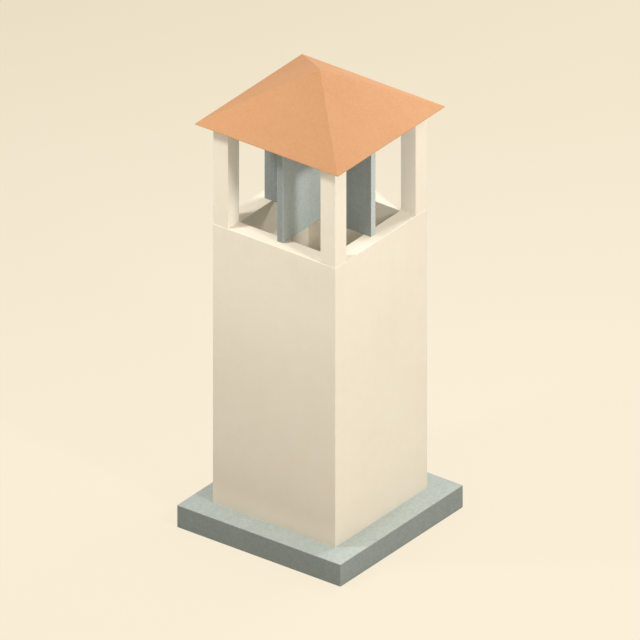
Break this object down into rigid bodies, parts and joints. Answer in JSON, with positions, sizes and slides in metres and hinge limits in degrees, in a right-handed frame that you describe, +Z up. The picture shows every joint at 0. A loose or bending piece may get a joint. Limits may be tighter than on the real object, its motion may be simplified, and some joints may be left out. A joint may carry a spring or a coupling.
{
  "type": "windcatcher",
  "caption": "Square masonry windcatcher tower on a plinth, with an open lantern of corner posts, crossed wind vanes and a hipped pyramid roof on a timber frame.",
  "frame": {"origin": "centre of the plinth's underside, on the ground", "axes": "+Z up along the shaft, -Y towards the front, +X to the right"},
  "size_m": [2.4, 2.4, 6.0383],
  "materials": {
    "plinth_concrete": "smooth cast face, matt",
    "lime_render": "fine trowelled lime render, matt",
    "vane_concrete": "smooth cast face, matt",
    "frame_timber": "sawn and weathered",
    "deck_timber": "sawn boards",
    "roof_terracotta": "smooth unglazed terracotta render, matt"
  },
  "bodies": {
    "root": {"plinth": "plinth_concrete", "wall_front": "lime_render", "wall_right": "lime_render", "wall_back": "lime_render", "wall_left": "lime_render", "post_front_left": "lime_render", "post_front_right": "lime_render", "post_back_right": "lime_render", "post_back_left": "lime_render", "beam_front": "frame_timber", "beam_right": "frame_timber", "beam_back": "frame_timber", "beam_left": "frame_timber", "vane_across": "vane_concrete", "vane_along": "vane_concrete", "king_post": "frame_timber", "hip_front_left": "frame_timber", "hip_front_right": "frame_timber", "hip_back_right": "frame_timber", "hip_back_left": "frame_timber", "rafter_front": "frame_timber", "rafter_right": "frame_timber", "rafter_back": "frame_timber", "rafter_left": "frame_timber", "jack_front_left": "frame_timber", "jack_front_right": "frame_timber", "jack_right_front": "frame_timber", "jack_right_back": "frame_timber", "jack_back_right": "frame_timber", "jack_back_left": "frame_timber", "jack_left_back": "frame_timber", "jack_left_front": "frame_timber", "deck_front": "deck_timber", "deck_right": "deck_timber", "deck_back": "deck_timber", "deck_left": "deck_timber", "roof_front": "roof_terracotta", "roof_right": "roof_terracotta", "roof_back": "roof_terracotta", "roof_left": "roof_terracotta"}
  },
  "joints": []
}
